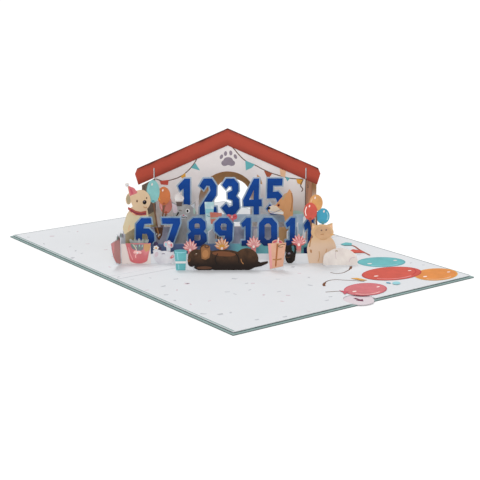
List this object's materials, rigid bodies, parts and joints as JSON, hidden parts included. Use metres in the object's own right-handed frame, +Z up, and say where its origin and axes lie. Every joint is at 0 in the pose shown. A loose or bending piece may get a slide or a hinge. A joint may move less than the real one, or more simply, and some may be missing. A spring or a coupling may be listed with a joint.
{
  "type": "pop up card",
  "caption": "Pop-up greeting card lying open, with a slotted card house, rows of numbers, pets, presents and balloons, and a note card that slides from a pocket.",
  "frame": {"origin": "on the underside of the cover, at the middle of the fold", "axes": "+X along the fold, +Y across the fold towards the far panel, +Z up out of the card"},
  "size_m": [0.178, 0.2572, 0.0766],
  "materials": {
    "teal_card": "matt printed board",
    "white_card": "matt coated card",
    "tape": "plain tape",
    "wall_card": "matt printed card",
    "roof_red": "matt printed card",
    "wood_brown": "matt printed card",
    "number_blue": "matt printed card",
    "halo_blue": "matt printed card",
    "cream": "matt printed card",
    "grey": "matt printed card",
    "tan": "matt printed card",
    "yellow": "matt printed card",
    "black": "matt printed card",
    "dark_brown": "matt printed card",
    "white_fur": "matt printed card",
    "pink": "matt printed card",
    "peach": "matt printed card",
    "teal_print": "matt printed card",
    "orange_print": "matt printed card",
    "red_print": "matt printed card",
    "navy": "matt printed card",
    "leaf": "matt printed card"
  },
  "bodies": {
    "card": {"balloon_amber": "orange_print", "balloon_blue": "teal_print", "balloon_coral": "pink", "balloon_orange": "orange_print", "balloon_red": "red_print", "balloon_teal": "teal_print", "black_cat": "black", "bucket": "pink", "bucket_card": "white_card", "bucket_leaves": "leaf", "cake_hat": "peach", "cover": "teal_card", "cream_dog": "cream", "flower_1": "pink", "flower_2": "orange_print", "flower_3": "pink", "flower_4": "pink", "front_rail": "white_card", "grey_cat": "grey", "house_back": "wood_brown", "house_front": "wall_card", "house_roof": "roof_red", "left_cross": "white_card", "liner": "white_card", "long_dog": "dark_brown", "lower_backing": "halo_blue", "lower_digit_1": "number_blue", "lower_digit_2": "number_blue", "lower_digit_3": "number_blue", "lower_digit_4": "number_blue", "lower_digit_5": "number_blue", "lower_digit_6": "number_blue", "lower_digit_7": "number_blue", "lower_digit_8": "number_blue", "mid_rail": "white_card", "middle_cross": "white_card", "navy_gift": "navy", "party_cup": "teal_print", "posy": "teal_print", "ribbon_gift": "peach", "right_cross": "white_card", "second_rail": "white_card", "small_bow": "pink", "small_cup": "teal_print", "small_parcel": "orange_print", "tan_dog": "tan", "tape_far": "tape", "tape_left": "tape", "tape_middle": "tape", "tape_right": "tape", "upper_backing": "halo_blue", "upper_digit_1": "number_blue", "upper_digit_2": "number_blue", "upper_digit_3": "number_blue", "upper_digit_4": "number_blue", "upper_digit_5": "number_blue", "white_dog": "white_fur", "white_pup": "white_fur", "yellow_cat": "yellow"},
    "note": {"note_card": "white_card"}
  },
  "joints": [
    {"name": "note_slide", "type": "slide", "parent": "card", "child": "note", "axis": [0, -1, 0], "range_m": [0, 0.07]}
  ]
}
